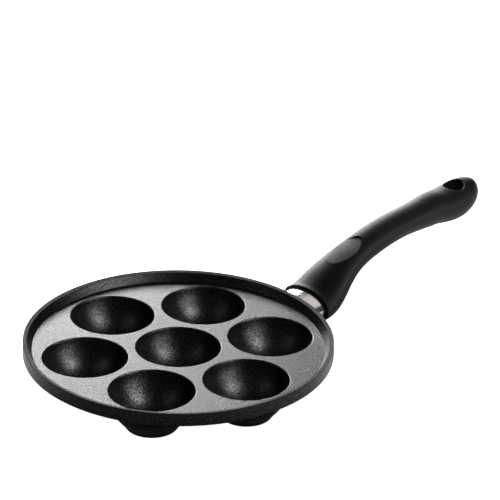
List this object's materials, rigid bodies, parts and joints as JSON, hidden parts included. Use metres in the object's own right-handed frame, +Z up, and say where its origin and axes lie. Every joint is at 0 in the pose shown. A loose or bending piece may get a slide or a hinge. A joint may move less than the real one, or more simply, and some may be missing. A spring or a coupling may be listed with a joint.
{
  "type": "aebleskiver pan",
  "caption": "Cast stovetop pan with ball-shaped wells in a raised plate, a low rim, flat feet under its bowls and a curved handle with a hang hole, for cooking round filled pancakes.",
  "frame": {"origin": "On the axis of the middle well, in the plane of the feet that the pan stands on.", "axes": "+X points along the handle, from the middle of the pan to the hang hole; +Z points up out of the wells; +Y completes a right-handed frame."},
  "size_m": [0.4041, 0.209, 0.0599],
  "materials": {
    "nonstick_casting": "cast aluminium under a dark speckled nonstick coating",
    "polished_steel": "polished",
    "black_moulding": "satin black heat-resistant moulding",
    "grey_pad": "fine-grained matt grey",
    "plated_steel": "bright zinc plate"
  },
  "bodies": {
    "root": {"pan_body": "nonstick_casting", "heat_guard": "polished_steel", "handle_grip": "black_moulding", "thumb_pad": "grey_pad", "handle_screw": "plated_steel", "flat_washer": "plated_steel", "lock_washer": "plated_steel"}
  },
  "joints": []
}
